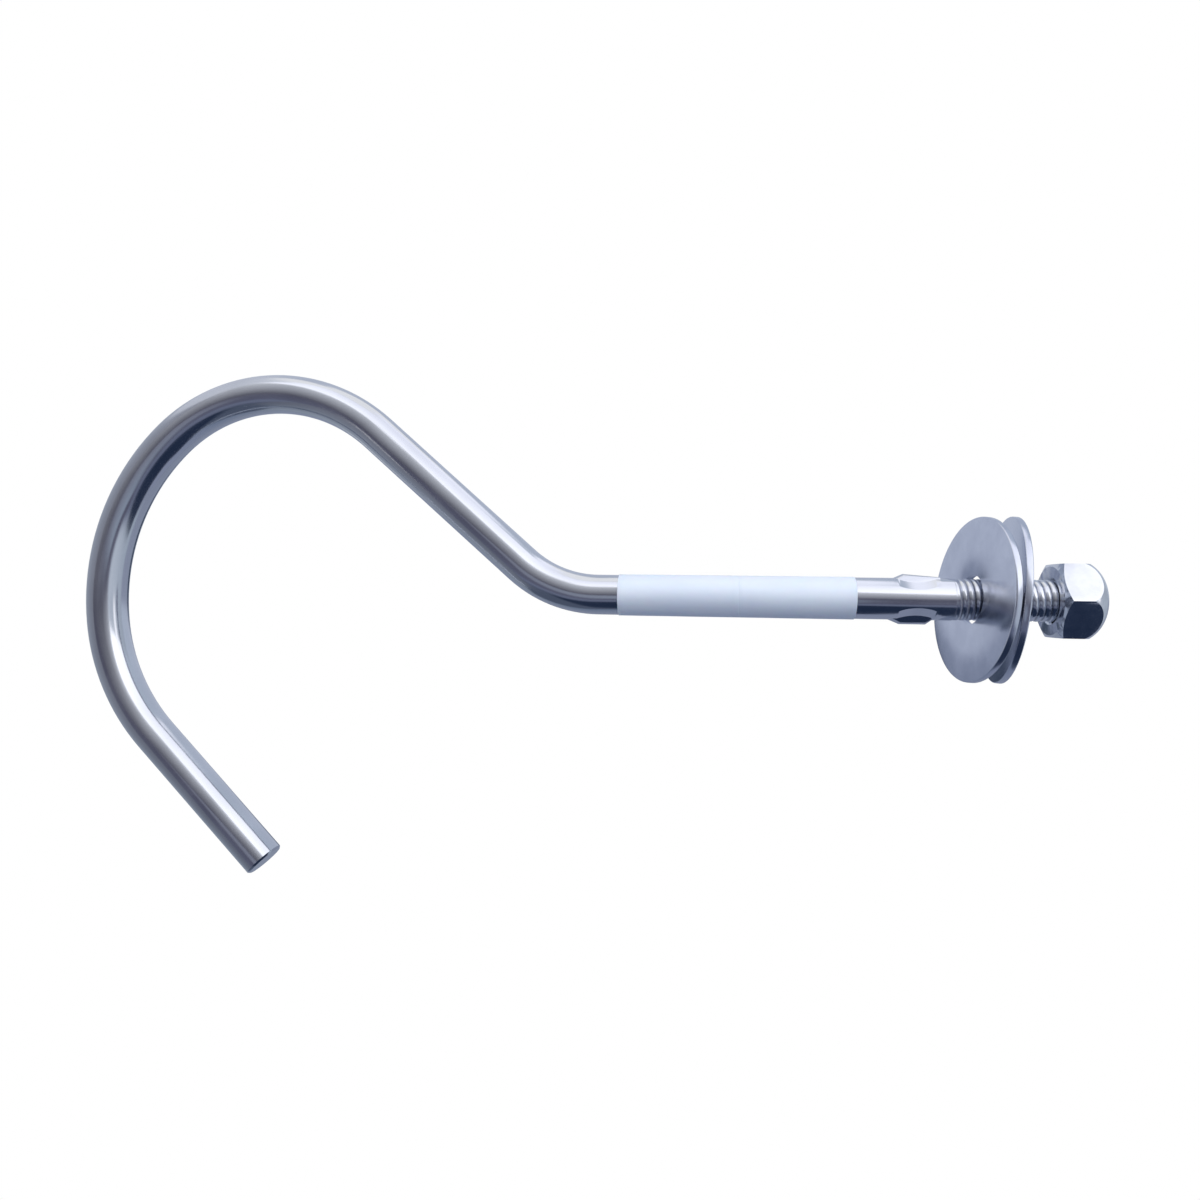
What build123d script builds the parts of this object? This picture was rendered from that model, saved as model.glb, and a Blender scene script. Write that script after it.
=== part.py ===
from build123d import *
from math import cos, radians, sin, tan
import os

# Wetsuit hook: a round bar bent to an open hook, with a threaded end that goes up through a beam.
# Millimetres. +Z runs up the shank to the thread, the hook lies in the XZ plane and opens towards +X.
# The origin is on the shank's axis at the upper end of the stop ears, where the lower washer bears.

# Bar
bar_diameter = 10.0
shank_length = 81.0
first_bend_radius = 30.0
first_bend_turn = 41.0
diagonal_length = 51.5
bowl_entry_radius = 43.5
bowl_entry_turn = 83.0
bowl_middle_radius = 58.5
bowl_middle_turn = 54.0
bowl_exit_radius = 51.0
bowl_exit_turn = 39.0
tip_length = 45.5
tip_edge_break = 0.5

# Threaded end
plain_end_length = 2.9
thread_diameter = 9.8
thread_end_chamfer = 1.0

# Stop ears, pinched out of the bar on opposite sides
ear_root_width = 4.8
ear_crest_width = 2.0
ear_edge_radius = 0.3
ear_root_depth = 1.5
tapered_ear_ends = (-10.2, 0.0)
tapered_ear_crest = ((-8.2, 0.95), (0.0, 0.25))
level_ear_ends = (-11.3, -1.6)
level_ear_crest = ((-8.9, 1.05), (-2.9, 1.05))

# Hollows that the pinching leaves on both sides of each ear
hollow_angle = 37.0
hollow_depth = 0.56
hollow_length = 10.8

# Two bands of wrap, end to end round the shank
wrap_thickness = 0.15
wrap_start = 19.3
upper_wrap_width = 27.3
lower_wrap_width = 29.2

# Washers, each leaning on the thread: tilt lifts the -Y rim and lean lifts the -X rim
washer_diameter = 39.0
washer_thickness = 1.5
washer_edge_break = 0.2
washer_play = 0.8
lower_washer_height = 8.1
lower_washer_tilt = 8.4
lower_washer_lean = 4.2
upper_washer_tilt = -5.9
upper_washer_lean = 4.4
rim_gap = 0.3

# Lock nut: a hexagon that rounds over into a collar, which holds a nylon ring
nut_height = 10.0
nut_face_height = 24.7
nut_across_flats = 17.0
nut_rest_turn = 30.0
hexagon_chamfer_angle = 30.0
bearing_face_radius = 8.0
dome_start = 5.45
dome_radius = 6.9
collar_mouth_radius = 5.6
collar_lip_width = 0.5
thread_clearance = 0.05
entry_chamfer = 0.6
insert_radius = 6.3
insert_height = 2.1
lip_thickness = 0.8
insert_clearance = 0.03
bar_end_recess = 0.5

bar_radius = bar_diameter / 2
thread_radius = thread_diameter / 2
washer_radius = washer_diameter / 2
washer_hole_radius = bar_radius + washer_play
bar_end_height = nut_face_height + nut_height - bar_end_recess

os.makedirs("parts", exist_ok=True)


def hook_line():
    """The bar's centre line, from the top of its plain end down round the hook to the tip."""
    shank = Line((0, plain_end_length), (0, -shank_length))
    bend = JernArc(shank @ 1, shank % 1, first_bend_radius, -first_bend_turn)
    diagonal = Line(bend @ 1, bend @ 1 + (bend % 1) * diagonal_length)
    end = diagonal
    for radius, turn in (
        (bowl_entry_radius, bowl_entry_turn),
        (bowl_middle_radius, bowl_middle_turn),
        (bowl_exit_radius, bowl_exit_turn),
    ):
        end = JernArc(end @ 1, end % 1, radius, turn)
    Line(end @ 1, end @ 1 + (end % 1) * tip_length)


def ear_outline(ends, crest, side):
    """Outline of one ear in the XZ plane, standing on the bar's side given by the sign."""
    root = bar_radius - ear_root_depth
    points = [(root, ends[0]), (bar_radius, ends[0])]
    points += [(bar_radius + height, place) for place, height in crest]
    points += [(bar_radius, ends[1]), (root, ends[1])]
    return [(side * x, z) for x, z in points]


def leaning_plane(height, tilt, lean):
    """Plane through the shank's axis whose -Y side rises with the tilt and -X side with the lean."""
    tilt, lean = radians(tilt), radians(lean)
    normal = (sin(lean) * cos(tilt), sin(tilt), cos(lean) * cos(tilt))
    return Plane(origin=(0, 0, height), z_dir=normal)


# Hollows beside the +X ear: planes at an angle to it that curve out of the bar at both ends
hollow_reach = bar_radius + 2 * hollow_depth
hollow_side = Plane(
    origin=(0, 0, 0),
    x_dir=(cos(radians(hollow_angle)), -sin(radians(hollow_angle)), 0),
    z_dir=(-sin(radians(hollow_angle)), -cos(radians(hollow_angle)), 0),
)
with BuildPart() as hollows:
    with BuildSketch(hollow_side):
        with BuildLine():
            ThreePointArc(
                (bar_radius, 0),
                (bar_radius - hollow_depth, -hollow_length / 2),
                (bar_radius, -hollow_length),
            )
            Polyline(
                (bar_radius, 0),
                (hollow_reach, 0),
                (hollow_reach, -hollow_length),
                (bar_radius, -hollow_length),
            )
        make_face()
    extrude(amount=bar_radius, both=True)
    mirror(about=Plane.XZ)

# Ears, which narrow from root to crest
ears = []
for ends, crest, side in (
    (tapered_ear_ends, tapered_ear_crest, -1),
    (level_ear_ends, level_ear_crest, 1),
):
    root = side * (bar_radius - ear_root_depth)
    top = side * (bar_radius + max(height for place, height in crest))
    with BuildPart() as ear:
        with BuildSketch(Plane.XZ):
            with BuildLine():
                Polyline(*ear_outline(ends, crest, side), close=True)
            make_face()
        extrude(amount=ear_root_width / 2, both=True)
        with BuildSketch(Plane.XY.offset(ends[0])):
            with BuildLine():
                Polyline(
                    (root, ear_root_width / 2),
                    (top, ear_crest_width / 2),
                    (top, -ear_crest_width / 2),
                    (root, -ear_root_width / 2),
                    close=True,
                )
            make_face()
        extrude(amount=ends[1] - ends[0], mode=Mode.INTERSECT)
        outer_edges = ear.edges().filter_by(lambda e: side * e.center().X > bar_radius)
        long_edges = outer_edges.filter_by(Axis.Y, reverse=True)
        fillet(long_edges.sort_by(Axis.Z)[:-2], ear_edge_radius)
    ears.append(ear.part)

# Bar with its ears and thread
with BuildPart() as hook_bar:
    with BuildLine(Plane.XZ):
        hook_line()
    with BuildSketch(Plane.XY.offset(plain_end_length)):
        Circle(bar_radius)
    sweep()
    tip_face = hook_bar.faces().filter_by(GeomType.PLANE).sort_by(Axis.Z)[0]
    chamfer(tip_face.edges(), tip_edge_break)
    add(hollows.part, mode=Mode.SUBTRACT)
    mirror(hollows.part, about=Plane.YZ, mode=Mode.SUBTRACT)
    add(ears)
    with BuildSketch(Plane.XY.offset(plain_end_length)):
        Circle(thread_radius)
    extrude(amount=bar_end_height - plain_end_length)
    chamfer(hook_bar.faces().sort_by(Axis.Z)[-1].edges(), thread_end_chamfer)
hook_bar.part.label = "hook_bar"
export_step(hook_bar.part, "parts/hook_bar.step")

# Wrap bands
wrap_seam = wrap_start + upper_wrap_width
for name, band_top, band_width in (
    ("upper_wrap", wrap_start, upper_wrap_width),
    ("lower_wrap", wrap_seam, lower_wrap_width),
):
    with BuildPart() as wrap:
        with BuildSketch(Plane.XY.offset(-band_top)):
            Circle(bar_radius + wrap_thickness)
            Circle(bar_radius, mode=Mode.SUBTRACT)
        extrude(amount=-band_width)
    wrap.part.label = name
    export_step(wrap.part, f"parts/{name}.step")

# Washers, whose near rims meet
rim_rise = washer_radius * (sin(radians(lower_washer_tilt)) - sin(radians(upper_washer_tilt)))
upper_washer_height = lower_washer_height + rim_rise + washer_thickness + rim_gap
for name, height, tilt, lean in (
    ("lower_washer", lower_washer_height, lower_washer_tilt, lower_washer_lean),
    ("upper_washer", upper_washer_height, upper_washer_tilt, upper_washer_lean),
):
    with BuildPart() as washer:
        with BuildSketch(leaning_plane(height, tilt, lean)):
            Circle(washer_radius)
            Circle(washer_hole_radius, mode=Mode.SUBTRACT)
        extrude(amount=washer_thickness / 2, both=True)
        rims = washer.edges().filter_by(GeomType.CIRCLE).group_by(SortBy.RADIUS)[-1]
        chamfer(rims, washer_edge_break)
    washer.part.label = name
    export_step(washer.part, f"parts/{name}.step")

# Nut
corner_radius = nut_across_flats / 2 / cos(radians(30))
chamfer_rise = (corner_radius - bearing_face_radius) * tan(radians(hexagon_chamfer_angle))
collar_rim_radius = collar_mouth_radius + collar_lip_width
thread_bore_radius = thread_radius + thread_clearance
pocket_top = nut_height - lip_thickness
pocket_floor = pocket_top - insert_height - 2 * insert_clearance
nut_section = Plane(origin=(0, 0, nut_face_height), x_dir=(1, 0, 0), z_dir=(0, -1, 0))
with BuildPart() as nut:
    with BuildSketch(Plane.XY.offset(nut_face_height)):
        RegularPolygon(nut_across_flats / 2, 6, major_radius=False, rotation=nut_rest_turn)
    extrude(amount=nut_height)
    with BuildSketch(nut_section):
        with BuildLine():
            dome = RadiusArc((collar_rim_radius, nut_height), (corner_radius, dome_start), dome_radius)
            Polyline(dome @ 0, (0, nut_height), (0, 0), (bearing_face_radius, 0))
            Polyline((bearing_face_radius, 0), (corner_radius, chamfer_rise), dome @ 1)
        make_face()
    revolve(axis=Axis.Z, mode=Mode.INTERSECT)
    with BuildSketch(nut_section):
        with BuildLine():
            Polyline(
                (0, 0),
                (thread_bore_radius + entry_chamfer, 0),
                (thread_bore_radius, entry_chamfer),
                (thread_bore_radius, pocket_floor),
                (insert_radius, pocket_floor),
                (insert_radius, pocket_top),
                (collar_mouth_radius, pocket_top),
                (collar_mouth_radius, nut_height),
                (0, nut_height),
                close=True,
            )
        make_face()
    revolve(axis=Axis.Z, mode=Mode.SUBTRACT)
nut.part.label = "nut"
export_step(nut.part, "parts/nut.step")

# Nylon ring in the collar
with BuildPart() as nut_insert:
    with BuildSketch(Plane.XY.offset(nut_face_height + pocket_floor + insert_clearance)):
        Circle(insert_radius - insert_clearance)
        Circle(thread_radius + insert_clearance, mode=Mode.SUBTRACT)
    extrude(amount=insert_height)
nut_insert.part.label = "nut_insert"
export_step(nut_insert.part, "parts/nut_insert.step")
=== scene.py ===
from math import asin, atan2, cos, pi, radians, sin, tan

import bmesh
import bpy
from mathutils import Matrix, Vector, noise


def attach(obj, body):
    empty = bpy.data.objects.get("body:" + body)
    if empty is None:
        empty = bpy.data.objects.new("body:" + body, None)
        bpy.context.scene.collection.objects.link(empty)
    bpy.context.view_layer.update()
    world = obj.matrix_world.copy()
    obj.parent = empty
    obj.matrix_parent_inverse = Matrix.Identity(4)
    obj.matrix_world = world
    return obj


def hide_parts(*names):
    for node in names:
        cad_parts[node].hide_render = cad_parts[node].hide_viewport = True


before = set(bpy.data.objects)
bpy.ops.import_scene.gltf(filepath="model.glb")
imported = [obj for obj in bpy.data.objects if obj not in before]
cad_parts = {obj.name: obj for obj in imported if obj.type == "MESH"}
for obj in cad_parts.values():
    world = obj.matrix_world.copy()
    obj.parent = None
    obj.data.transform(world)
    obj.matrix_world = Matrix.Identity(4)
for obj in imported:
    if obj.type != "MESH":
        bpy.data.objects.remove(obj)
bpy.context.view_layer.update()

# Pieces are modelled in millimetres and made metres when they are finished
METRE = 0.001

# How near points have to be to count as level or in place, in millimetres
NEAR = 0.01

# Bar
BAR_RADIUS = 4.97
PLAIN_END = 2.9
PLAIN_END_EDGE = 0.08
SHANK_LENGTH = 81.0
FIRST_BEND = (30.0, -41.0)
DIAGONAL_LENGTH = 51.5
BOWL_BENDS = [(43.5, 83.0), (58.5, 54.0), (51.0, 39.0)]
TIP_LENGTH = 45.5
TIP_EDGE = 0.5
TIP_EDGE_SHAPE = 0.28
BAR_SIDES = 72
DEGREES_A_STEP = 2.5

# Thread
THREAD_RADIUS = 4.9
THREAD_PITCH = 1.5
THREAD_DEPTH = 0.2
THREAD_STEPS = 12
THREAD_SIDES = 72
THREAD_RUN_OUT = 1.6
THREAD_ROOT = 0.6
THREAD_END_CHAMFER = 1.0
BAR_END = 34.2

# Painted shade in the thread's grooves: where it sets in, how far below the crests it stops, its
# colour
GROOVE_SHADE_START = 0.3
GROOVE_SHADE_TOP = 0.1
GROOVE_SHADE_COLOUR = (0.45, 0.46, 0.50, 1)

# Stop ears and the hollows beside them
EAR_ROOT_WIDTH = 4.8
EAR_CREST_WIDTH = 2.0
EAR_EDGE = 0.95
EAR_ROOT = 1.5
TAPERED_EAR = [(0, -10.2), (0.95, -8.2), (0.25, 0.0), (0, 0.0)]
LEVEL_EAR = [(0, -11.3), (1.05, -8.9), (1.05, -2.9), (0, -1.6)]
HOLLOW_ANGLE = 37.0
HOLLOW_DEPTH = 0.56
HOLLOW_LENGTH = 10.8
HOLLOW_SPARE = 1.0
HOLLOW_STEPS = 32

# Wrap bands
WRAP_THICKNESS = 0.15
WRAP_START = 19.3
UPPER_WRAP_WIDTH = 27.3
LOWER_WRAP_WIDTH = 29.2
UPPER_WRAP_TURN = 60
LOWER_WRAP_TURN = 78
WRAP_STEPS_ROUND = 132
WRAP_STEPS_DOWN = 20
WRAP_PLAY = 0.006
WRAP_EDGE = 0.04

# The end of a strip lies over its start, and is lifted on to it over a few degrees
WRAP_OVERLAP = 26.0
LIFT_START = 356
LIFT_LENGTH = 9

# Ripples of the film: their height, which it is made thinner by, and how many go round and down
RIPPLE_HEIGHT = 0.02
RIPPLE_ROUND = 2.2
RIPPLE_DOWN = 0.16

# Washers
WASHER_RADIUS = 19.5
WASHER_THICKNESS = 1.5
WASHER_HOLE = 5.8
WASHER_EDGE = 0.3
HOLE_EDGE = 0.05
WASHER_SIDES = 144
LOWER_WASHER_HEIGHT = 8.1
LOWER_WASHER_TILT = 8.4
LOWER_WASHER_LEAN = 4.2
UPPER_WASHER_TILT = -5.9
UPPER_WASHER_LEAN = 4.4
RIM_GAP = 0.3

# Lock nut
NUT_FACE = 24.7
NUT_HEIGHT = 10.0
NUT_FLATS = 17.0
NUT_TURN = 30.0
HEXAGON_CHAMFER = 30.0
HEXAGON_SPARE = 1.0
BEARING_RADIUS = 8.0
DOME_START = 5.45
DOME_RADIUS = 6.9
DOME_STEPS = 16
COLLAR_MOUTH = 5.6
COLLAR_LIP = 0.5
NUT_BORE = 4.95
ENTRY_CHAMFER = 0.6
INSERT_RADIUS = 6.3
INSERT_HEIGHT = 2.1
INSERT_GAP = 0.03
INSERT_EDGE = 0.2
LIP_THICKNESS = 0.8
NUT_SIDES = 96
NUT_EDGE = 0.14


def begin(name, primitive, **size):
    """Adds a primitive, names it and opens it for editing."""
    bpy.ops.object.select_all(action="DESELECT")
    primitive(**size)
    piece = bpy.context.active_object
    piece.name = name
    bpy.ops.object.mode_set(mode="EDIT")
    bpy.ops.mesh.select_mode(type="VERT")
    bpy.ops.mesh.select_all(action="SELECT")
    return piece


def pick_edges(piece, test):
    """Selects only the edges that pass a test."""
    bpy.ops.mesh.select_all(action="DESELECT")
    bpy.ops.mesh.select_mode(type="EDGE")
    mesh = bmesh.from_edit_mesh(piece.data)
    for edge in mesh.edges:
        if test(edge):
            edge.select_set(True)
    bmesh.update_edit_mesh(piece.data)


def middle(edge):
    """The middle of an edge."""
    return (edge.verts[0].co + edge.verts[1].co) / 2


def level_ring(radius):
    """A test for the level edges of a circle round the Z axis."""

    def test(edge):
        first, second = (vertex.co for vertex in edge.verts)
        return abs(middle(edge).xy.length - radius) < NEAR and abs(first.z - second.z) < NEAR

    return test


def place_outline(piece, points):
    """Moves the vertices of a fresh circle to the points of an outline."""
    mesh = bmesh.from_edit_mesh(piece.data)
    mesh.verts.ensure_lookup_table()
    for vertex, point in zip(mesh.verts, points):
        vertex.co = point
    bmesh.update_edit_mesh(piece.data)


def close_up(piece):
    """Merges what meets, points the faces outwards and leaves edit mode."""
    bpy.ops.mesh.select_all(action="SELECT")
    bpy.ops.mesh.remove_doubles(threshold=0.0005)
    bpy.ops.mesh.normals_make_consistent(inside=False)
    bpy.ops.object.mode_set(mode="OBJECT")
    return piece


def outline_solid(name, points, push):
    """A flat outline pushed to a solid."""
    piece = begin(name, bpy.ops.mesh.primitive_circle_add, vertices=len(points), fill_type="NGON")
    place_outline(piece, points)
    bpy.ops.mesh.extrude_region_move(TRANSFORM_OT_translate={"value": push})
    return piece


def turned_ring(name, outline, sides):
    """A ring turned round the Z axis from a closed outline of radii and heights."""
    circle = bpy.ops.mesh.primitive_circle_add
    piece = begin(name, circle, vertices=len(outline), fill_type="NOTHING")
    place_outline(piece, [(radius, 0, height) for radius, height in outline])
    bpy.ops.mesh.spin(steps=sides, angle=2 * pi, center=(0, 0, 0), axis=(0, 0, 1))
    return close_up(piece)


def use_modifier(piece, kind, **settings):
    """Adds a modifier and applies it."""
    modifier = piece.modifiers.new(kind.lower(), kind)
    for name, value in settings.items():
        setattr(modifier, name, value)
    bpy.context.view_layer.objects.active = piece
    bpy.ops.object.modifier_apply(modifier=modifier.name)


def soften_edges(piece, width, segments, sharp):
    """Rounds the edges that turn by more than an angle."""
    use_modifier(
        piece,
        "BEVEL",
        width=width,
        segments=segments,
        limit_method="ANGLE",
        angle_limit=radians(sharp),
    )


def combine(piece, other, operation):
    """Joins a solid to a piece, or cuts it out of the piece."""
    use_modifier(piece, "BOOLEAN", object=other, operation=operation, solver="EXACT")
    bpy.data.objects.remove(other)


def finish_piece(piece, body, node, finish, sharp=28):
    """Makes a piece metres, smooths all but sharp edges, paints it and ties it to the frame."""
    bpy.ops.object.select_all(action="DESELECT")
    piece.select_set(True)
    bpy.context.view_layer.objects.active = piece
    piece.scale = (METRE,) * 3
    bpy.ops.object.transform_apply(location=True, rotation=True, scale=True)
    bpy.ops.object.shade_smooth_by_angle(angle=radians(sharp), keep_sharp_edges=False)
    piece.data.materials.clear()
    piece.data.materials.append(finish)
    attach(piece, body)
    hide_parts(node)


def bar_runs():
    """The straights and bends of the bar's centre line, from the shank's top down to the tip."""
    runs = [("straight", SHANK_LENGTH, 0.0), ("bend", *FIRST_BEND)]
    runs += [("straight", DIAGONAL_LENGTH, 0.0)]
    runs += [("bend", radius, turn) for radius, turn in BOWL_BENDS]
    runs += [("straight", TIP_LENGTH, 0.0)]
    place, heading, gone = Vector((0, 0, 0)), Vector((0, 0, -1)), 0.0
    found = []
    for kind, size, turn in runs:
        side = Vector((-heading.z, 0, heading.x))
        if kind == "straight":
            found.append((kind, place.copy(), heading.copy(), size, 0.0, gone))
            place += heading * size
            gone += size
        else:
            centre = place + side * (size if turn > 0 else -size)
            found.append((kind, centre, heading.copy(), size, turn, gone))
            swing = Matrix.Rotation(-radians(turn), 3, "Y")
            place = centre + swing @ (place - centre)
            heading = swing @ heading
            gone += size * abs(radians(turn))
    return found


def straightened(point, runs):
    """Where a point of the bent bar lay on the straight bar."""
    best, best_error = point, float("inf")
    for kind, base, heading, size, turn, gone in runs:
        side = Vector((-heading.z, 0, heading.x))
        if kind == "straight":
            along = (point - base).dot(heading)
            across = (point - base).dot(side)
            length = size
        else:
            way = 1 if turn > 0 else -1
            arm = Vector((point.x - base.x, 0, point.z - base.z))
            along = size * atan2(arm.dot(heading), -way * arm.dot(side))
            across = way * (size - arm.length)
            length = size * abs(radians(turn))
        outside = max(0.0, -along if gone else 0.0, along - length)
        error = outside + max(0.0, abs(across) - 2 * BAR_RADIUS)
        if error < best_error:
            best, best_error = Vector((across, point.y, -(gone + along))), error
    return best


def make_bar(runs):
    """The bent bar, from a disc that is pushed down the straights and swept round the bends."""
    bar = begin(
        "bar",
        bpy.ops.mesh.primitive_circle_add,
        vertices=BAR_SIDES,
        radius=BAR_RADIUS,
        location=(0, 0, PLAIN_END),
        fill_type="NGON",
    )
    bpy.ops.object.mode_set(mode="OBJECT")
    bpy.ops.object.transform_apply(location=True)
    bpy.ops.object.mode_set(mode="EDIT")
    bpy.ops.mesh.extrude_region_move(TRANSFORM_OT_translate={"value": (0, 0, -PLAIN_END)})
    for kind, base, heading, size, turn, _ in runs:
        if kind == "straight":
            bpy.ops.mesh.extrude_region_move(TRANSFORM_OT_translate={"value": heading * size})
        else:
            steps = round(abs(turn) / DEGREES_A_STEP)
            way = (0, 1 if turn > 0 else -1, 0)
            bpy.ops.mesh.spin(steps=steps, angle=abs(radians(turn)), center=base, axis=way)
    end = bar_tip(runs)
    reach = BAR_RADIUS + NEAR
    pick_edges(bar, lambda edge: all((v.co - end).length < reach for v in edge.verts))
    bpy.ops.mesh.bevel(offset=TIP_EDGE, segments=3, profile=TIP_EDGE_SHAPE, affect="EDGES")
    pick_edges(bar, lambda edge: all(v.co.z > PLAIN_END - NEAR for v in edge.verts))
    bpy.ops.mesh.bevel(offset=PLAIN_END_EDGE, segments=2, affect="EDGES")
    return close_up(bar)


def bar_tip(runs):
    """The middle of the tip's end face."""
    _, base, heading, size, _, _ = runs[-1]
    return base + heading * size


def make_hollows():
    """The four shallow hollows that the pinching presses in beside the ears."""
    middle_height = -HOLLOW_LENGTH / 2
    press_radius = (middle_height**2 + HOLLOW_DEPTH**2) / (2 * HOLLOW_DEPTH)
    swing = asin(-middle_height / press_radius)
    arc = []
    for n in range(HOLLOW_STEPS + 1):
        angle = swing * (1 - 2 * n / HOLLOW_STEPS)
        depth = press_radius * cos(angle) - press_radius + HOLLOW_DEPTH
        arc.append((BAR_RADIUS - depth, middle_height + press_radius * sin(angle)))
    outside = BAR_RADIUS + HOLLOW_SPARE
    arc += [(outside, -HOLLOW_LENGTH), (outside, 0)]
    outline = [(x, BAR_RADIUS, z) for x, z in arc]
    hollows = outline_solid("hollows", outline, (0, -2 * BAR_RADIUS, 0))
    close_up(hollows)
    hollows.rotation_euler = (0, 0, -radians(HOLLOW_ANGLE))
    bpy.ops.object.transform_apply(rotation=True)
    use_modifier(hollows, "MIRROR", use_axis=(False, True, False), use_mirror_merge=False)
    use_modifier(hollows, "MIRROR", use_axis=(True, False, False), use_mirror_merge=False)
    return hollows


def make_ear(name, crest, side):
    """One stop ear, narrower at its crest than at its root, its long outer edges rounded."""
    root = BAR_RADIUS - EAR_ROOT
    rises = [(BAR_RADIUS + rise, height) for rise, height in crest]
    outline = [(root, rises[0][1]), *rises, (root, rises[-1][1])]
    half = EAR_ROOT_WIDTH / 2
    points = [(side * x, -half, z) for x, z in outline]
    ear = outline_solid(name, points, (0, EAR_ROOT_WIDTH, 0))
    top = BAR_RADIUS + max(rise for rise, _ in crest)
    narrowing = (EAR_ROOT_WIDTH - EAR_CREST_WIDTH) / 2 / (top - root)
    mesh = bmesh.from_edit_mesh(ear.data)
    for vertex in mesh.verts:
        width = half - narrowing * (abs(vertex.co.x) - root)
        vertex.co.y = width if vertex.co.y > 0 else -width
    bmesh.update_edit_mesh(ear.data)

    def outer_long_edge(edge):
        way = (edge.verts[0].co - edge.verts[1].co).normalized()
        place = middle(edge)
        return abs(place.y) > EAR_EDGE and side * place.x > BAR_RADIUS and abs(way.z) > 0.5

    pick_edges(ear, outer_long_edge)
    bpy.ops.mesh.bevel(offset=EAR_EDGE, segments=4, affect="EDGES")
    return close_up(ear)


def make_thread():
    """The threaded end: one pitch's outline wound up the bar and cut flat at both ends."""
    bottom, top = PLAIN_END - THREAD_ROOT, BAR_END
    start = bottom - 2 * THREAD_PITCH
    outline = []
    for n in range(THREAD_STEPS + 1):
        share = n / THREAD_STEPS
        groove = (0.5 - 0.5 * cos(2 * pi * share)) ** 2
        outline.append((THREAD_RADIUS - THREAD_DEPTH * groove, 0, start + THREAD_PITCH * share))
    circle = bpy.ops.mesh.primitive_circle_add
    thread = begin("thread", circle, vertices=THREAD_STEPS + 1, fill_type="NOTHING")
    place_outline(thread, outline)
    pick_edges(thread, lambda edge: abs(edge.calc_length() - THREAD_PITCH) < 0.001)
    bpy.ops.mesh.delete(type="EDGE")
    bpy.ops.object.mode_set(mode="OBJECT")
    turns = round((top - start) / THREAD_PITCH) + 2
    use_modifier(
        thread,
        "SCREW",
        axis="Z",
        angle=2 * pi,
        screw_offset=THREAD_PITCH,
        iterations=turns,
        steps=THREAD_SIDES,
        render_steps=THREAD_SIDES,
        use_smooth_shade=False,
    )
    bpy.ops.object.mode_set(mode="EDIT")
    bpy.ops.mesh.select_all(action="SELECT")
    bpy.ops.mesh.remove_doubles(threshold=0.001)
    for height, way in ((bottom, (0, 0, -1)), (top, (0, 0, 1))):
        bpy.ops.mesh.select_all(action="SELECT")
        bpy.ops.mesh.bisect(
            plane_co=(0, 0, height),
            plane_no=way,
            use_fill=True,
            clear_outer=True,
            threshold=0.0001,
        )
    mesh = bmesh.from_edit_mesh(thread.data)
    for vertex in mesh.verts:
        radius = vertex.co.xy.length
        run_out = min(1, max(0, (vertex.co.z - PLAIN_END) / THREAD_RUN_OUT))
        least = THREAD_RADIUS - THREAD_DEPTH * run_out
        most = THREAD_RADIUS - max(0, vertex.co.z - (top - THREAD_END_CHAMFER))
        wanted = min(most, max(least, radius))
        vertex.co.x *= wanted / radius
        vertex.co.y *= wanted / radius
    bmesh.update_edit_mesh(thread.data)
    return close_up(thread)


def make_hook_bar(finish):
    """The whole bar: bent bar, pressed hollows, ears and thread as one solid."""
    runs = bar_runs()
    bar = make_bar(runs)
    combine(bar, make_hollows(), "DIFFERENCE")
    combine(bar, make_ear("tapered_ear", TAPERED_EAR, -1), "UNION")
    combine(bar, make_ear("level_ear", LEVEL_EAR, 1), "UNION")
    combine(bar, make_thread(), "UNION")
    layer = bar.data.attributes.new("straight_bar", "FLOAT_VECTOR", "POINT")
    places = [straightened(vertex.co, runs) * METRE for vertex in bar.data.vertices]
    layer.data.foreach_set("vector", [value for place in places for value in place])
    finish_piece(bar, "bar", "hook_bar", finish, sharp=20)


def make_wrap(name, node, top, width, turn, finish):
    """One band of wrap: a flat strip rolled round the shank, its end lying over its start."""
    band = begin(
        name,
        bpy.ops.mesh.primitive_grid_add,
        x_subdivisions=WRAP_STEPS_ROUND,
        y_subdivisions=WRAP_STEPS_DOWN,
        size=1,
    )
    mesh = bmesh.from_edit_mesh(band.data)
    length = 360 + WRAP_OVERLAP
    for vertex in mesh.verts:
        share, down = vertex.co.x + 0.5, 0.5 - vertex.co.y
        degree = share * length
        over = min(1, max(0, (degree - LIFT_START) / LIFT_LENGTH))
        lift = (WRAP_THICKNESS + RIPPLE_HEIGHT) * over * over * (3 - 2 * over)
        height = top - down * width
        spot = Vector(
            (
                cos(radians(degree)) * RIPPLE_ROUND,
                sin(radians(degree)) * RIPPLE_ROUND,
                height * RIPPLE_DOWN + turn,
            )
        )
        ripple = RIPPLE_HEIGHT * (noise.noise(spot) + 0.5) * (1 - over)
        angle = radians(degree + turn)
        radius = BAR_RADIUS + WRAP_PLAY + ripple + lift
        vertex.co = (radius * cos(angle), radius * sin(angle), height)
    bmesh.update_edit_mesh(band.data)
    bpy.ops.mesh.normals_make_consistent(inside=False)
    bpy.ops.object.mode_set(mode="OBJECT")
    outward = sum(p.normal.xy.dot(p.center.xy) for p in band.data.polygons) > 0
    thickness = WRAP_THICKNESS - RIPPLE_HEIGHT
    use_modifier(band, "SOLIDIFY", thickness=thickness, offset=1 if outward else -1)
    soften_edges(band, WRAP_EDGE, segments=2, sharp=50)
    bpy.ops.object.mode_set(mode="EDIT")
    close_up(band)
    finish_piece(band, "bar", node, finish, sharp=50)


def washer_place(height, tilt, lean):
    """The turn and shift of a washer that leans on the thread."""
    tilt, lean = radians(tilt), radians(lean)
    normal = Vector((sin(lean) * cos(tilt), sin(tilt), cos(lean) * cos(tilt)))
    turned = normal.to_track_quat("Z", "Y").to_matrix().to_4x4()
    return Matrix.Translation((0, 0, height)) @ turned


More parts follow.
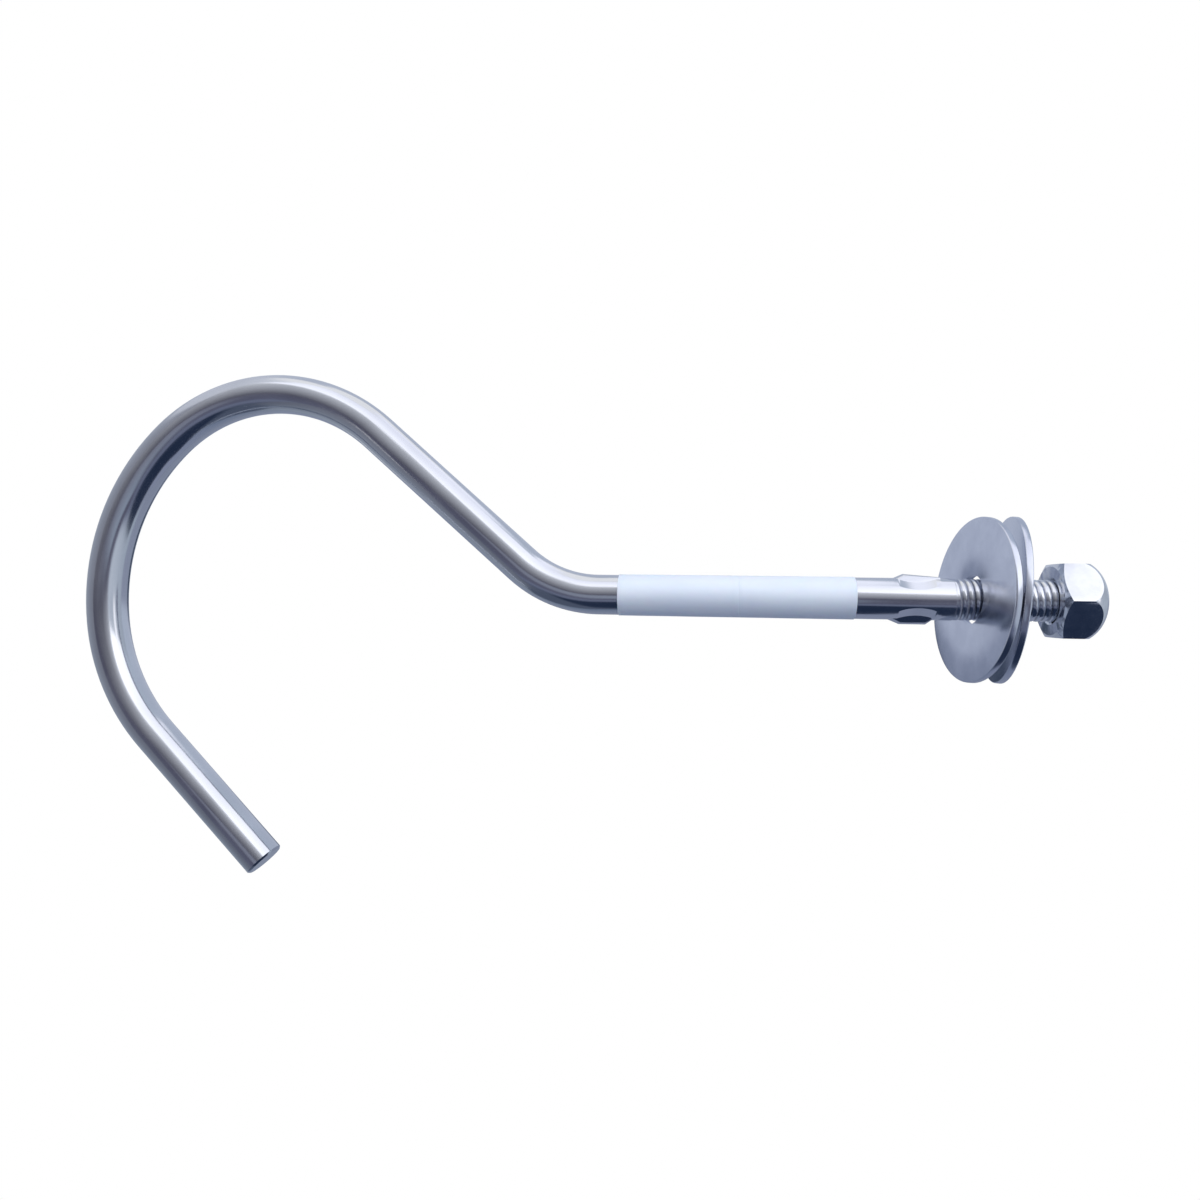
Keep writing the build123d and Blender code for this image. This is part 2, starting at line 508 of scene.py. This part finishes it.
def make_washer(name, node, body, place, finish):
    """One round washer: two circles bridged, thickened and softened at their edges."""
    circle = bpy.ops.mesh.primitive_circle_add
    sides = {"vertices": WASHER_SIDES, "fill_type": "NOTHING"}
    washer = begin(name, circle, radius=WASHER_RADIUS, **sides)
    circle(radius=WASHER_HOLE, **sides)
    bpy.ops.mesh.select_all(action="SELECT")
    bpy.ops.mesh.bridge_edge_loops()
    bpy.ops.mesh.select_all(action="SELECT")
    push = {"value": (0, 0, WASHER_THICKNESS)}
    bpy.ops.mesh.extrude_region_move(TRANSFORM_OT_translate=push)
    bpy.ops.mesh.select_all(action="SELECT")
    bpy.ops.transform.translate(value=(0, 0, -WASHER_THICKNESS / 2))
    pick_edges(washer, level_ring(WASHER_RADIUS))
    bpy.ops.mesh.bevel(offset=WASHER_EDGE, segments=4, affect="EDGES")
    pick_edges(washer, level_ring(WASHER_HOLE))
    bpy.ops.mesh.bevel(offset=HOLE_EDGE, segments=2, affect="EDGES")
    close_up(washer)
    washer.matrix_world = place
    bpy.ops.object.select_all(action="DESELECT")
    washer.select_set(True)
    bpy.ops.object.transform_apply(location=True, rotation=True, scale=False)
    finish_piece(washer, body, node, finish)


def dome(start, end, radius, steps):
    """Points between two ends of an arc that bulges away from the axis."""
    start, end = Vector(start), Vector(end)
    chord = end - start
    bulge = Vector((chord.y, -chord.x)).normalized()
    centre = (start + end) / 2 - bulge * (radius**2 - (chord.length / 2) ** 2) ** 0.5
    points = []
    for n in range(1, steps):
        toward = start.lerp(end, n / steps) - centre
        points.append(tuple(centre + toward.normalized() * radius))
    return points


def make_nut(finish):
    """The lock nut: a turned body that rounds over into its collar, cut to a hexagon."""
    corner = NUT_FLATS / 2 / cos(radians(30))
    rise = (corner - BEARING_RADIUS) * tan(radians(HEXAGON_CHAMFER))
    pocket_top = NUT_HEIGHT - LIP_THICKNESS
    pocket_floor = pocket_top - INSERT_HEIGHT - 2 * INSERT_GAP
    rim = (COLLAR_MOUTH + COLLAR_LIP, NUT_HEIGHT)
    outline = [
        (NUT_BORE + ENTRY_CHAMFER, 0),
        (BEARING_RADIUS, 0),
        (corner, rise),
        (corner, DOME_START),
        *dome((corner, DOME_START), rim, DOME_RADIUS, DOME_STEPS),
        rim,
        (COLLAR_MOUTH, NUT_HEIGHT),
        (COLLAR_MOUTH, pocket_top),
        (INSERT_RADIUS, pocket_top),
        (INSERT_RADIUS, pocket_floor),
        (NUT_BORE, pocket_floor),
        (NUT_BORE, ENTRY_CHAMFER),
    ]
    raised = [(radius, NUT_FACE + height) for radius, height in outline]
    nut = turned_ring("lock_nut", raised, NUT_SIDES)
    angles = [radians(NUT_TURN + 60 * n) for n in range(6)]
    corners = [(corner * cos(a), corner * sin(a), NUT_FACE - HEXAGON_SPARE) for a in angles]
    hexagon = outline_solid("hexagon", corners, (0, 0, NUT_HEIGHT + 2 * HEXAGON_SPARE))
    close_up(hexagon)
    combine(nut, hexagon, "INTERSECT")
    soften_edges(nut, NUT_EDGE, segments=2, sharp=24)
    finish_piece(nut, "nut_shell", "nut", finish, sharp=24)


def make_insert(finish):
    """The nylon ring in the nut's collar."""
    top = NUT_FACE + NUT_HEIGHT - LIP_THICKNESS - INSERT_GAP
    bottom = top - INSERT_HEIGHT
    outer, inner = INSERT_RADIUS - INSERT_GAP, THREAD_RADIUS + INSERT_GAP
    outline = [(inner, bottom), (outer, bottom), (outer, top), (inner, top)]
    ring = turned_ring("nylon_ring", outline, NUT_SIDES)
    soften_edges(ring, INSERT_EDGE, segments=3, sharp=30)
    finish_piece(ring, "nut_ring", "nut_insert", finish)


class Finish:
    """A material that is built up node by node."""

    def __init__(self, name):
        self.material = bpy.data.materials.new(name)
        self.material.use_nodes = True
        self.nodes = self.material.node_tree.nodes
        self.links = self.material.node_tree.links
        self.shader = self.nodes["Principled BSDF"]

    def add(self, kind, settings=None, **inputs):
        """Adds a node. An input is a value, or the output of another node."""
        made = self.nodes.new(kind)
        for name, value in (settings or {}).items():
            setattr(made, name, value)
        for name, value in inputs.items():
            self.join(made, name.replace("_", " "), value)
        return made

    def join(self, made, name, value):
        """Sets or links an input. It is given by its name, or by i and its number."""
        numbered = name[0] == "i" and name[1:].isdigit()
        socket = made.inputs[int(name[1:]) if numbered else name]
        if isinstance(value, bpy.types.NodeSocket):
            self.links.new(value, socket)
        else:
            socket.default_value = value

    def place(self, attribute=None):
        """Where on the piece a point is."""
        if attribute:
            made = self.add("ShaderNodeAttribute", {"attribute_name": attribute})
            return made.outputs["Vector"]
        return self.add("ShaderNodeTexCoord").outputs["Object"]

    def from_axis(self, place):
        """How far a point is from the Z axis, and how high it is."""
        split = self.add("ShaderNodeSeparateXYZ", Vector=place)
        flat = self.add("ShaderNodeCombineXYZ", X=split.outputs["X"], Y=split.outputs["Y"])
        out = self.add(
            "ShaderNodeVectorMath", {"operation": "LENGTH"}, i0=flat.outputs["Vector"]
        )
        return out.outputs["Value"], split.outputs["Z"]

    def stretched(self, place, scale, turn=(0, 0, 0)):
        """A place that is scaled and turned, so that a pattern on it runs one way."""
        made = self.add("ShaderNodeMapping", Vector=place)
        made.inputs["Scale"].default_value = scale
        made.inputs["Rotation"].default_value = [radians(degree) for degree in turn]
        return made.outputs["Vector"]

    def grain(self, place, scale=1.0, detail=2.0, roughness=0.5):
        """A cloudy pattern."""
        made = self.add(
            "ShaderNodeTexNoise", Vector=place, Scale=scale, Detail=detail, Roughness=roughness
        )
        return made.outputs["Fac"]

    def span(self, value, low, high, new_low, new_high, smooth=False):
        """Moves the values from low to high to a new span, and keeps them in it."""
        settings = {"interpolation_type": "SMOOTHSTEP" if smooth else "LINEAR", "clamp": True}
        made = self.add("ShaderNodeMapRange", settings, Value=value)
        for name, number in (
            ("From Min", low),
            ("From Max", high),
            ("To Min", new_low),
            ("To Max", new_high),
        ):
            made.inputs[name].default_value = number
        return made.outputs["Result"]

    def math(self, operation, first, second):
        """Works out one value from two."""
        made = self.add("ShaderNodeMath", {"operation": operation}, i0=first, i1=second)
        return made.outputs["Value"]

    def blend(self, share, first, second):
        """Mixes two colours."""
        made = self.add("ShaderNodeMix", {"data_type": "RGBA"}, i0=share, i6=first, i7=second)
        return made.outputs[2]

    def clouded(self, clouds, low, high, first, second):
        """One colour where a pattern is low, turning to another where it is high."""
        return self.blend(self.span(clouds, low, high, 0, 1), (*first, 1), (*second, 1))

    def set(self, **inputs):
        """Sets inputs of the shader."""
        for name, value in inputs.items():
            self.join(self.shader, name.replace("_", " "), value)

    def show(self, share, first, second):
        """Makes the surface a mix of two shaders."""
        made = self.add("ShaderNodeMixShader", i0=share, i1=first, i2=second)
        surface = self.nodes["Material Output"].inputs["Surface"]
        self.links.new(made.outputs["Shader"], surface)

    def bump(self, height, strength, distance):
        """Raises the surface a little where a pattern is high."""
        made = self.add("ShaderNodeBump", Strength=strength, Distance=distance, Height=height)
        self.links.new(made.outputs["Normal"], self.shader.inputs["Normal"])


def scratches(finish, place, turn):
    """Fine straight scratches that lie one way."""
    lines = finish.grain(finish.stretched(place, (90, 2600, 2600), turn), detail=1)
    return finish.span(lines, 0.66, 0.72, 0, 1)


def bar_finish():
    """Polished stainless bar: fine draw lines, faint clouds, painted shade in the thread's
    grooves.
    """
    finish = Finish("polished_bar")
    place = finish.place("straight_bar")
    lines = finish.grain(finish.stretched(place, (2600, 2600, 45)), detail=3, roughness=0.6)
    clouds = finish.grain(place, scale=85, detail=3)
    radius, height = finish.from_axis(place)
    # The thread's grooves are painted a darker colour, most at their floors: painted shade
    thread_start, shade_start = PLAIN_END * METRE, (PLAIN_END + GROOVE_SHADE_START) * METRE
    on_thread = finish.span(height, thread_start, shade_start, 0, 1)
    groove_floor = (THREAD_RADIUS - THREAD_DEPTH) * METRE
    shade_top = (THREAD_RADIUS - GROOVE_SHADE_TOP) * METRE
    groove = finish.span(radius, groove_floor, shade_top, 1, 0, smooth=True)
    groove_shade = finish.math("MULTIPLY", on_thread, groove)
    clean = finish.clouded(clouds, 0.35, 0.65, (0.68, 0.70, 0.75), (0.72, 0.74, 0.79))
    clouded = finish.span(clouds, 0.3, 0.7, 0.11, 0.16)
    lined = finish.span(lines, 0.35, 0.7, 0, 0.04)
    finish.set(
        Base_Color=finish.blend(groove_shade, clean, GROOVE_SHADE_COLOUR),
        Metallic=1.0,
        Roughness=finish.math("ADD", clouded, lined),
    )
    finish.bump(lines, strength=0.05, distance=0.00002)
    return finish.material


def washer_finish():
    """Tumbled stainless sheet: soft grain with scratches that cross each other."""
    finish = Finish("tumbled_washer")
    place = finish.place()
    grain = finish.grain(place, scale=3200, detail=3, roughness=0.65)
    clouds = finish.grain(place, scale=140, detail=4, roughness=0.6)
    one_way = scratches(finish, place, (0, 12, 35))
    other_way = scratches(finish, place, (20, -8, -50))
    marks = finish.math("MAXIMUM", one_way, other_way)
    clouded = finish.span(clouds, 0.3, 0.7, 0.17, 0.25)
    finish.set(
        Base_Color=finish.clouded(clouds, 0.35, 0.68, (0.57, 0.60, 0.69), (0.66, 0.69, 0.78)),
        Metallic=1.0,
        Roughness=finish.math("ADD", clouded, finish.math("MULTIPLY", marks, -0.06)),
    )
    finish.bump(finish.math("SUBTRACT", grain, marks), strength=0.16, distance=0.00002)
    return finish.material


def nut_finish():
    """Bright stainless nut: turned and formed faces with light handling marks."""
    finish = Finish("bright_nut")
    place = finish.place()
    grain = finish.grain(finish.stretched(place, (1500, 1500, 2600)), detail=3)
    clouds = finish.grain(place, scale=260, detail=3)
    marks = scratches(finish, place, (10, 40, 60))
    clouded = finish.span(clouds, 0.3, 0.7, 0.1, 0.19)
    finish.set(
        Base_Color=finish.clouded(clouds, 0.35, 0.65, (0.70, 0.72, 0.76), (0.80, 0.82, 0.86)),
        Metallic=1.0,
        Roughness=finish.math("ADD", clouded, finish.math("MULTIPLY", marks, 0.1)),
    )
    finish.bump(finish.math("SUBTRACT", grain, marks), strength=0.1, distance=0.00002)
    return finish.material


def wrap_finish():
    """White film: matt, a little uneven, with soft creases."""
    finish = Finish("white_film")
    place = finish.place()
    fine = finish.grain(place, scale=2400, detail=2)
    soft = finish.grain(finish.stretched(place, (150, 150, 60)), detail=3)
    creases = finish.grain(finish.stretched(place, (90, 90, 240), (0, 0, 20)), detail=2)
    finish.set(
        Base_Color=finish.clouded(soft, 0.35, 0.65, (0.82, 0.88, 0.97), (0.87, 0.92, 0.99)),
        Roughness=finish.span(soft, 0.3, 0.7, 0.38, 0.52),
        Subsurface_Weight=0.08,
        Subsurface_Scale=0.0004,
    )
    fuzz = finish.math("MULTIPLY", fine, 0.12)
    height = finish.math("ADD", fuzz, finish.math("ADD", soft, creases))
    finish.bump(height, strength=0.3, distance=0.00018)
    return finish.material


def nylon_finish():
    """Natural nylon ring: waxy and slightly clouded."""
    finish = Finish("natural_nylon")
    place = finish.place()
    fine = finish.grain(place, scale=2200, detail=2)
    clouds = finish.grain(place, scale=420, detail=3)
    finish.set(
        Base_Color=finish.clouded(clouds, 0.35, 0.65, (0.72, 0.71, 0.65), (0.82, 0.81, 0.76)),
        Roughness=finish.span(clouds, 0.3, 0.7, 0.35, 0.5),
        Subsurface_Weight=0.2,
        Subsurface_Scale=0.0008,
    )
    finish.bump(fine, strength=0.2, distance=0.00003)
    return finish.material


def towards(round_shank, up):
    """A direction from the object, in degrees from the camera's side.

    The first angle swings it towards the thread, the second one up in the picture.
    """
    round_shank, up = radians(round_shank), radians(up)
    return Vector((-sin(up), -cos(round_shank) * cos(up), sin(round_shank) * cos(up)))


def add_card(name, ends, low_side, high_side, distance, low, high, fades):
    """A curved card that only reflections see, with painted corners and sides that fade out."""
    card = begin(
        name,
        bpy.ops.mesh.primitive_grid_add,
        x_subdivisions=CARD_STEPS_WIDE,
        y_subdivisions=CARD_STEPS_HIGH,
        size=1,
    )
    wide = ends[1] - ends[0]
    tall = (high_side[0] + high_side[1] - low_side[0] - low_side[1]) / 2
    mesh = bmesh.from_edit_mesh(card.data)
    for vertex in mesh.verts:
        across, rise = vertex.co.x + 0.5, vertex.co.y + 0.5
        lowest = low_side[0] + across * (low_side[1] - low_side[0])
        highest = high_side[0] + across * (high_side[1] - high_side[0])
        up = lowest + rise * (highest - lowest)
        vertex.co = AIM + towards(ends[0] + across * wide, up) * distance
    bmesh.update_edit_mesh(card.data)
    bpy.ops.object.mode_set(mode="OBJECT")
    finish = Finish(name)
    flat = finish.add("ShaderNodeTexCoord").outputs["UV"]
    split = finish.add("ShaderNodeSeparateXYZ", Vector=flat)
    across, rise = split.outputs["X"], split.outputs["Y"]
    lower = finish.blend(across, (*low[0], 1), (*low[1], 1))
    upper = finish.blend(across, (*high[0], 1), (*high[1], 1))
    shown = 1.0
    for share, size, fade in ((across, wide, fades[:2]), (rise, tall, fades[2:])):
        for value, degrees in ((share, fade[0]), (finish.math("SUBTRACT", 1.0, share), fade[1])):
            if degrees:
                faded = finish.span(value, 0, degrees / size, 0, 1, smooth=True)
                shown = finish.math("MULTIPLY", shown, faded)
    glow = finish.add("ShaderNodeEmission", Color=finish.blend(rise, lower, upper))
    clear = finish.add("ShaderNodeBsdfTransparent")
    finish.show(shown, clear.outputs["BSDF"], glow.outputs["Emission"])
    card.data.materials.append(finish.material)
    card.visible_camera = card.visible_transmission = False
    card.visible_diffuse = card.visible_shadow = False


def add_lamp(name, direction, distance, size, power, colour):
    """A soft square lamp that faces the object."""
    data = bpy.data.lights.new(name, "AREA")
    data.shape = "RECTANGLE"
    data.size, data.size_y = size
    data.energy = power
    data.color = colour
    lamp = bpy.data.objects.new(name, data)
    facing = towards(*direction)
    lamp.location = AIM + facing * distance
    lamp.rotation_mode = "QUATERNION"
    lamp.rotation_quaternion = facing.to_track_quat("Z", "Y")
    lamp.visible_glossy = False
    bpy.context.scene.collection.objects.link(lamp)


def add_floor():
    """A pale round floor far below the hanging hook, which fades into the white around it."""
    bpy.ops.object.select_all(action="DESELECT")
    bpy.ops.mesh.primitive_circle_add(
        vertices=FLOOR_SIDES,
        radius=FLOOR_RADIUS,
        location=(0, 0, FLOOR_HEIGHT),
        fill_type="NGON",
    )
    floor = bpy.context.active_object
    floor.name = "floor"
    bpy.ops.object.transform_apply(location=True)
    finish = Finish("pale_floor")
    out = finish.from_axis(finish.place())[0]
    specks = finish.grain(finish.place(), scale=60, detail=3)
    finish.set(
        Base_Color=finish.blend(specks, (0.86, 0.865, 0.875, 1), (0.9, 0.905, 0.91, 1)),
        Roughness=0.8,
    )
    white = finish.add("ShaderNodeEmission", Color=(1, 1, 1, 1))
    start, end = FLOOR_FADE_START * FLOOR_RADIUS, FLOOR_FADE_END * FLOOR_RADIUS
    whiter = finish.span(out, start, end, 0, 1, smooth=True)
    finish.show(whiter, finish.shader.outputs["BSDF"], white.outputs["Emission"])
    floor.data.materials.append(finish.material)


def set_world():
    """White for the camera and for reflections, and a plain level of light for the rest."""
    world = bpy.data.worlds.new("white_room")
    bpy.context.scene.world = world
    world.use_nodes = True
    nodes, links = world.node_tree.nodes, world.node_tree.links
    rays = nodes.new("ShaderNodeLightPath")
    seen = rays.outputs["Is Camera Ray"]
    for kind in ("Is Glossy Ray", "Is Transmission Ray"):
        joined = nodes.new("ShaderNodeMath")
        joined.operation = "MAXIMUM"
        links.new(seen, joined.inputs[0])
        links.new(rays.outputs[kind], joined.inputs[1])
        seen = joined.outputs["Value"]
    colour = nodes.new("ShaderNodeMix")
    colour.data_type = "RGBA"
    links.new(seen, colour.inputs[0])
    colour.inputs[6].default_value = FILL_LIGHT
    colour.inputs[7].default_value = (1, 1, 1, 1)
    links.new(colour.outputs[2], nodes["Background"].inputs["Color"])


def set_camera():
    """The photograph's view: square on to the hook, with the thread to the right."""
    data = bpy.data.cameras.new("camera")
    data.sensor_width = CAMERA_SENSOR
    data.lens = CAMERA_LENS
    data.clip_start = 0.01
    camera = bpy.data.objects.new("camera", data)
    forward = Vector((0, cos(radians(CAMERA_PITCH)), -sin(radians(CAMERA_PITCH))))
    forward.rotate(Matrix.Rotation(radians(CAMERA_YAW), 3, "Z"))
    right = Vector(PICTURE_RIGHT)
    right = (right - forward * right.dot(forward)).normalized()
    up = right.cross(forward)
    turned = Matrix((right, up, -forward)).transposed().to_4x4()
    camera.matrix_world = Matrix.Translation(CAMERA_PLACE) @ turned
    bpy.context.scene.collection.objects.link(camera)
    bpy.context.scene.camera = camera


# Studio
AIM = Vector((0, 0, -0.09))
CAMERA_PLACE = (0.00095, -0.19353, -0.05459)
CAMERA_PITCH = 7.67
CAMERA_YAW = -0.12
PICTURE_RIGHT = (-0.0148, 0.1335, 0.9909)
CAMERA_LENS = 23.4
CAMERA_SENSOR = 36
CARD_STEPS_WIDE = 36
CARD_STEPS_HIGH = 18
FLOOR_HEIGHT = -0.62
FLOOR_RADIUS = 0.4
FLOOR_SIDES = 96
FLOOR_FADE_START = 0.3
FLOOR_FADE_END = 0.9
FILL_LIGHT = (0.20, 0.23, 0.32, 1)

# Cards that shape the reflections. A nearer card covers a farther one. The ends are in degrees
# round the shank, and the low and the high side have a height in degrees at both ends. Each of
# the four corners has a colour. The fades are the degrees that the two ends, the low side and
# the high side take to fade out
NAVY = (0.017, 0.028, 0.06)
SLATE = (0.085, 0.105, 0.155)
INK = (0.07, 0.07, 0.10)
HAZE = (0.27, 0.30, 0.39)
CARDS = [
    dict(
        name="tent",
        ends=(-180, 180),
        low_side=(-90, -90),
        high_side=(36, 36),
        distance=1.6,
        low=(HAZE, HAZE),
        high=(HAZE, HAZE),
        fades=(0, 0, 0, 6),
    ),
    dict(
        name="card_top",
        ends=(-62, 150),
        low_side=(0, 0),
        high_side=(84, 84),
        distance=1.4,
        low=((1.8, 1.8, 1.82), (1.8, 1.8, 1.85)),
        high=((0.95, 0.97, 1.08), (0.95, 0.97, 1.1)),
        fades=(10, 10, 0, 8),
    ),
    dict(
        name="card_back_high",
        ends=(82, 160),
        low_side=(0, 0),
        high_side=(70, 59),
        distance=1.3,
        low=((0.48, 0.55, 0.65), (0.50, 0.55, 0.66)),
        high=((0.48, 0.55, 0.65), (0.50, 0.55, 0.66)),
        fades=(10, 0, 0, 5),
    ),
    dict(
        name="card_back_left",
        ends=(150, 255),
        low_side=(0, 0),
        high_side=(58, 82),
        distance=1.32,
        low=((0.50, 0.55, 0.66), (0.56, 0.60, 0.70)),
        high=((0.50, 0.55, 0.66), (0.56, 0.60, 0.70)),
        fades=(4, 10, 0, 5),
    ),
    dict(
        name="card_back_slot",
        ends=(174, 202),
        low_side=(-16, -16),
        high_side=(4, 4),
        distance=1.15,
        low=((0.04, 0.055, 0.09), (0.04, 0.055, 0.09)),
        high=((0.05, 0.07, 0.11), (0.05, 0.07, 0.11)),
        fades=(5, 6, 6, 5),
    ),
    dict(
        name="card_back_low",
        ends=(105, 255),
        low_side=(-50, -50),
        high_side=(3, 3),
        distance=1.25,
        low=(HAZE, (0.24, 0.28, 0.36)),
        high=((0.30, 0.33, 0.43), (0.29, 0.33, 0.43)),
        fades=(12, 12, 4, 4),
    ),
    dict(
        name="card_below_back",
        ends=(100, 260),
        low_side=(-88, -88),
        high_side=(-46, -46),
        distance=1.2,
        low=((0.26, 0.29, 0.40), (0.12, 0.17, 0.25)),
        high=((0.28, 0.31, 0.42), (0.22, 0.26, 0.34)),
        fades=(12, 12, 2, 4),
    ),
    dict(
        name="card_nadir",
        ends=(-100, 128),
        low_side=(-90, -90),
        high_side=(-63, -63),
        distance=1.1,
        low=(NAVY, NAVY),
        high=(NAVY, NAVY),
        fades=(10, 8, 0, 4),
    ),
    dict(
        name="card_below_front",
        ends=(-44, 110),
        low_side=(-90, -90),
        high_side=(-43, -28),
        distance=0.45,
        low=(NAVY, NAVY),
        high=(NAVY, NAVY),
        fades=(8, 12, 0, 4),
    ),
    dict(
        name="card_below_left",
        ends=(-125, -30),
        low_side=(-90, -90),
        high_side=(-36, -36),
        distance=0.5,
        low=(SLATE, SLATE),
        high=(SLATE, SLATE),
        fades=(10, 0, 0, 6),
    ),
    dict(
        name="card_front_strip",
        ends=(-65, 50),
        low_side=(-52, -52),
        high_side=(-24, -24),
        distance=0.95,
        low=((0.15, 0.17, 0.25), (0.15, 0.17, 0.25)),
        high=((0.15, 0.17, 0.25), (0.15, 0.17, 0.25)),
        fades=(8, 8, 0, 0),
    ),
    dict(
        name="card_front_low",
        ends=(-60, 36),
        low_side=(-32, -32),
        high_side=(4, 4),
        distance=0.9,
        low=((0.12, 0.13, 0.19), (0.10, 0.10, 0.15)),
        high=((0.083, 0.083, 0.12), (0.083, 0.083, 0.12)),
        fades=(3, 10, 4, 0),
    ),
    dict(
        name="card_front_glow",
        ends=(-34, 18),
        low_side=(-20, -31),
        high_side=(2, -6),
        distance=0.88,
        low=((0.18, 0.19, 0.25), (0.30, 0.36, 0.45)),
        high=((0.20, 0.20, 0.26), (0.32, 0.37, 0.45)),
        fades=(7, 6, 6, 6),
    ),
    dict(
        name="card_front_high",
        ends=(-65, 5),
        low_side=(-4, -4),
        high_side=(50, 46),
        distance=0.85,
        low=(INK, INK),
        high=((0.62, 0.64, 0.68), (0.64, 0.66, 0.70)),
        fades=(8, 5, 4, 5),
    ),
    dict(
        name="card_front_right",
        ends=(0, 40),
        low_side=(-4, -4),
        high_side=(55, 5),
        distance=0.87,
        low=(INK, (0.28, 0.29, 0.34)),
        high=((0.75, 0.77, 0.81), (0.65, 0.67, 0.72)),
        fades=(0, 4, 4, 4),
    ),
    dict(
        name="card_left",
        ends=(-125, -56),
        low_side=(-48, -48),
        high_side=(32, 32),
        distance=0.40,
        low=((0.28, 0.33, 0.40), (0.09, 0.10, 0.14)),
        high=((0.46, 0.50, 0.58), (0.30, 0.31, 0.36)),
        fades=(8, 3, 4, 4),
    ),
    dict(
        name="card_left_high",
        ends=(-130, -55),
        low_side=(28, 28),
        high_side=(60, 60),
        distance=0.42,
        low=((0.58, 0.61, 0.69), (0.62, 0.64, 0.70)),
        high=((0.60, 0.63, 0.71), (0.72, 0.75, 0.82)),
        fades=(10, 10, 0, 8),
    ),
    dict(
        name="card_right",
        ends=(26, 125),
        low_side=(-26, -46),
        high_side=(8, 34),
        distance=0.8,
        low=((0.56, 0.61, 0.69), (0.36, 0.42, 0.50)),
        high=((0.60, 0.65, 0.73), (0.40, 0.45, 0.53)),
        fades=(16, 8, 6, 4),
    ),
    dict(
        name="card_right_window",
        ends=(62, 80),
        low_side=(-4, -4),
        high_side=(40, 40),
        distance=0.75,
        low=((1.2, 1.2, 1.25), (1.2, 1.2, 1.25)),
        high=((1.4, 1.4, 1.45), (1.4, 1.4, 1.45)),
        fades=(6, 6, 8, 8),
    ),
]

# The two washers all but meet at their near rims
tilts = sin(radians(LOWER_WASHER_TILT)) - sin(radians(UPPER_WASHER_TILT))
rim_rise = WASHER_RADIUS * tilts
upper_height = LOWER_WASHER_HEIGHT + rim_rise + WASHER_THICKNESS + RIM_GAP
lower_place = washer_place(LOWER_WASHER_HEIGHT, LOWER_WASHER_TILT, LOWER_WASHER_LEAN)
upper_place = washer_place(upper_height, UPPER_WASHER_TILT, UPPER_WASHER_LEAN)
upper_top, lower_top = -WRAP_START, -WRAP_START - UPPER_WRAP_WIDTH

steel_bar = bar_finish()
film = wrap_finish()
washer_steel = washer_finish()
make_hook_bar(steel_bar)
make_wrap("wrap_upper", "upper_wrap", upper_top, UPPER_WRAP_WIDTH, UPPER_WRAP_TURN, film)
make_wrap("wrap_lower", "lower_wrap", lower_top, LOWER_WRAP_WIDTH, LOWER_WRAP_TURN, film)
make_washer("washer_lower", "lower_washer", "washer_low", lower_place, washer_steel)
make_washer("washer_upper", "upper_washer", "washer_high", upper_place, washer_steel)
make_nut(nut_finish())
make_insert(nylon_finish())

set_world()
add_floor()
set_camera()
add_lamp(
    "lamp_top",
    direction=(12, 50),
    distance=1.0,
    size=(1.4, 0.6),
    power=9.4,
    colour=(0.98, 0.99, 1.0),
)
for card in CARDS:
    add_card(**card)

bpy.context.scene.view_settings.view_transform = "Standard"
